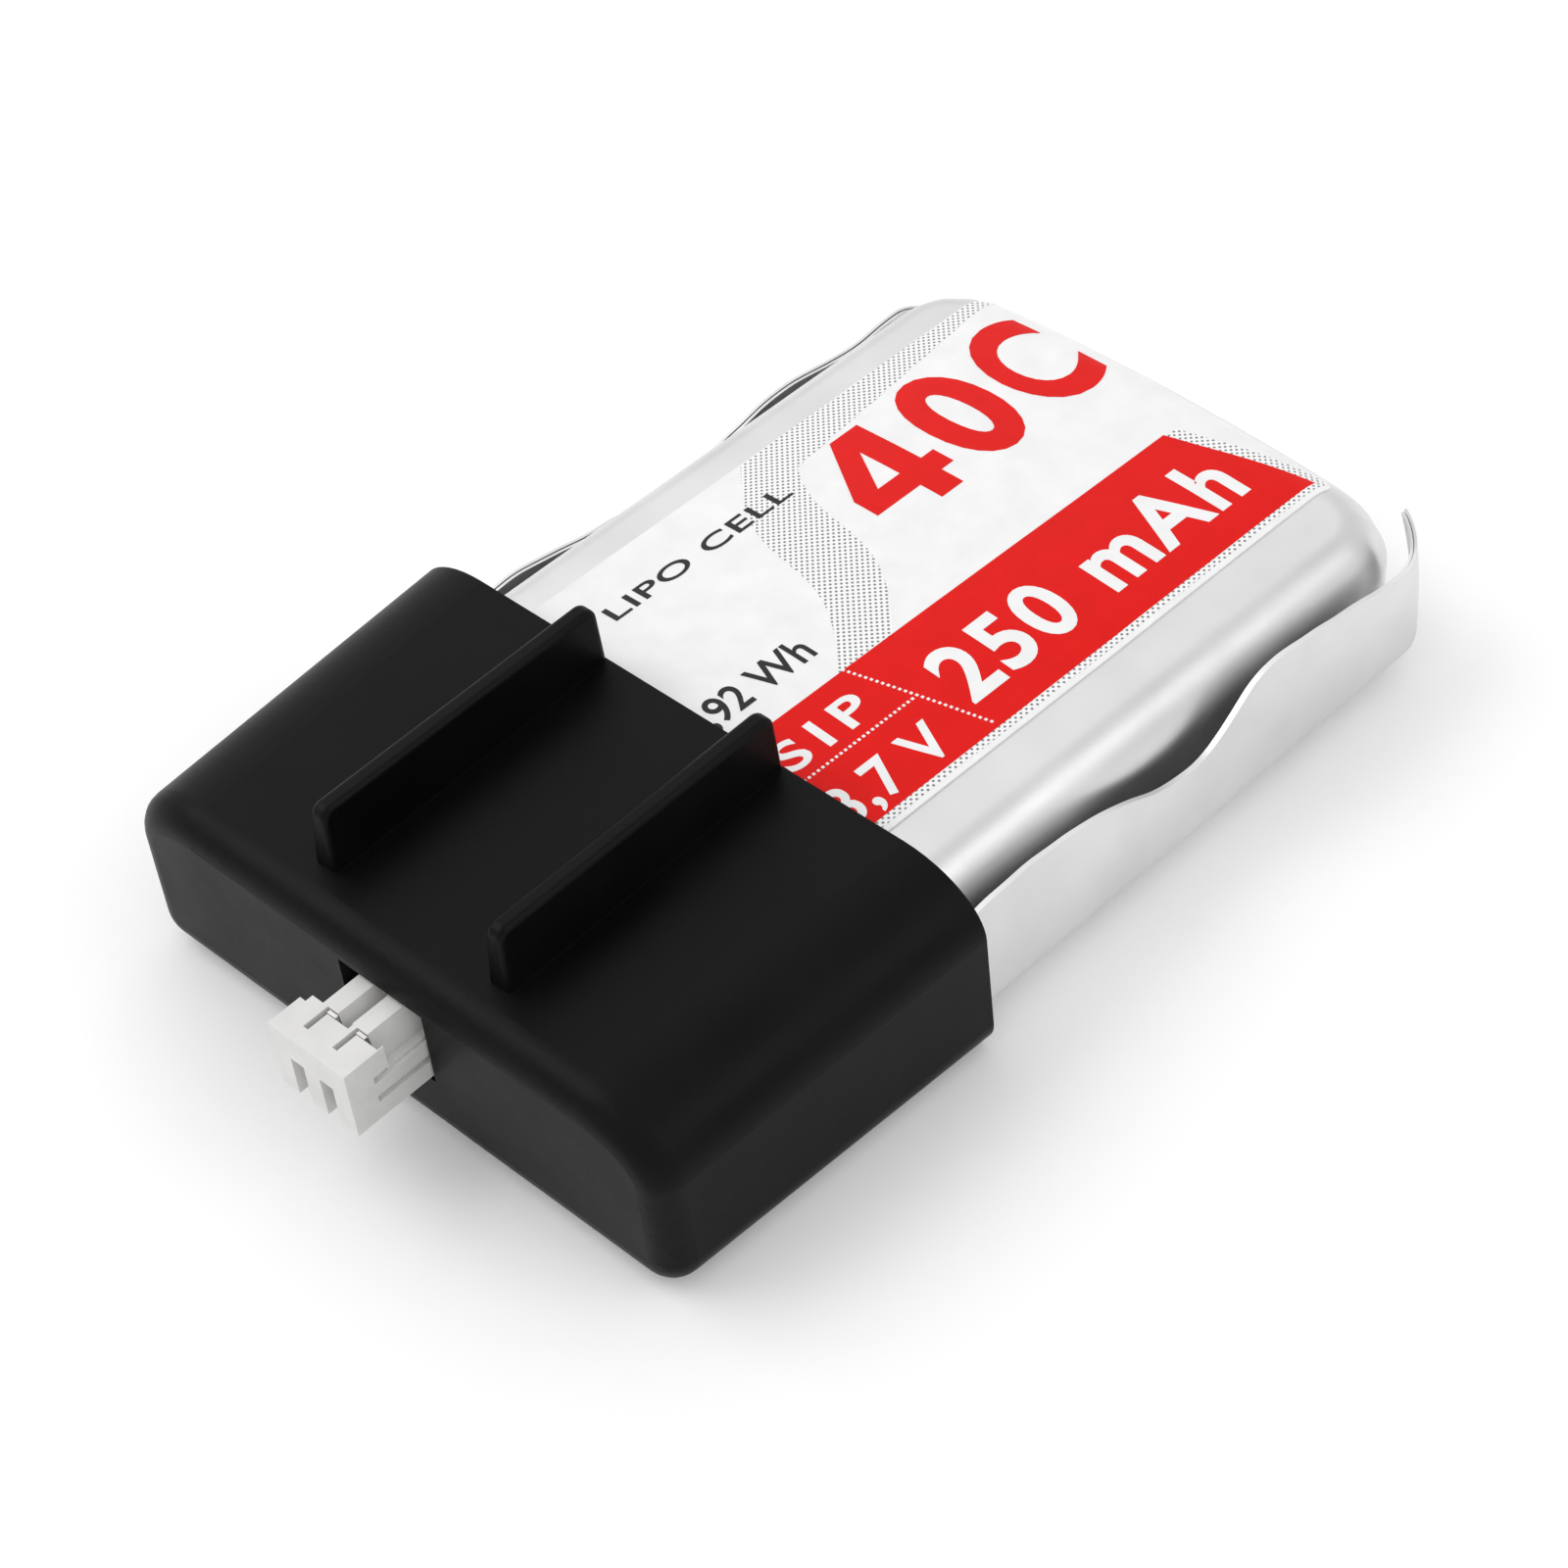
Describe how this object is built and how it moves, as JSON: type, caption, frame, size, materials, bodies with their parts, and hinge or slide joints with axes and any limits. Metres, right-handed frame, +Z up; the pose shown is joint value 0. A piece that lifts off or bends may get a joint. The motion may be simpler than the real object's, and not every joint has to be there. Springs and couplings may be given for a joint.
{
  "type": "lipo battery pack",
  "caption": "Small single-cell lithium polymer pack: silver pouch in a black rail cap with guide fins and a white two-way plug.",
  "frame": {"origin": "under the middle of the whole pack, on the surface it lies on", "axes": "+Y from the plug to the pouch's tail (longest), +Z up through the pack's thickness (shortest), +X across the pack"},
  "size_m": [0.02, 0.032, 0.0075],
  "materials": {
    "cap_plastic": "moulded black plastic with a fine satin texture",
    "plug_nylon": "natural white nylon, slightly waxy",
    "contact_metal": "tin-plated spring bronze, bright",
    "laminate": "silver aluminium laminate film, satin and slightly wrinkled",
    "label_film": "white printed film, satin gloss",
    "tinned_copper": "fine stranded tinned copper",
    "red_silicone": "soft red silicone insulation",
    "black_silicone": "soft black silicone insulation",
    "solder_alloy": "smooth bright solder",
    "tab_aluminium": "rolled aluminium strip",
    "tab_nickel": "rolled nickel strip",
    "seal_film": "black polypropylene sealing film",
    "aluminium_foil": "gathered bare aluminium foil",
    "copper_foil": "gathered bare copper foil",
    "cathode_coating": "dark grey coating on aluminium foil, matt",
    "anode_coating": "black graphite coating on copper foil, matt",
    "separator_film": "white microporous film",
    "stack_tape_film": "green polyester tape",
    "polyimide": "amber polyimide tape",
    "clear_glue": "cured hot-melt glue, cloudy",
    "foam_pad": "thin white adhesive pad"
  },
  "bodies": {
    "root": {"end_cap": "cap_plastic", "connector_housing": "plug_nylon", "contact_positive": "contact_metal", "contact_negative": "contact_metal", "pouch_cup": "laminate", "pouch_cover": "laminate", "label": "label_film", "lead_core_positive": "tinned_copper", "lead_core_negative": "tinned_copper", "lead_insulation_positive": "red_silicone", "lead_insulation_negative": "black_silicone", "solder_positive": "solder_alloy", "solder_negative": "solder_alloy", "tab_positive": "tab_aluminium", "tab_negative": "tab_nickel", "tab_seal_positive": "seal_film", "tab_seal_negative": "seal_film", "collector_positive": "aluminium_foil", "collector_negative": "copper_foil", "cathode_sheets": "cathode_coating", "anode_sheets": "anode_coating", "separator_sheets": "separator_film", "stack_tape": "stack_tape_film", "insulating_tape": "polyimide", "connector_glue": "clear_glue", "cap_glue": "foam_pad"}
  },
  "joints": []
}
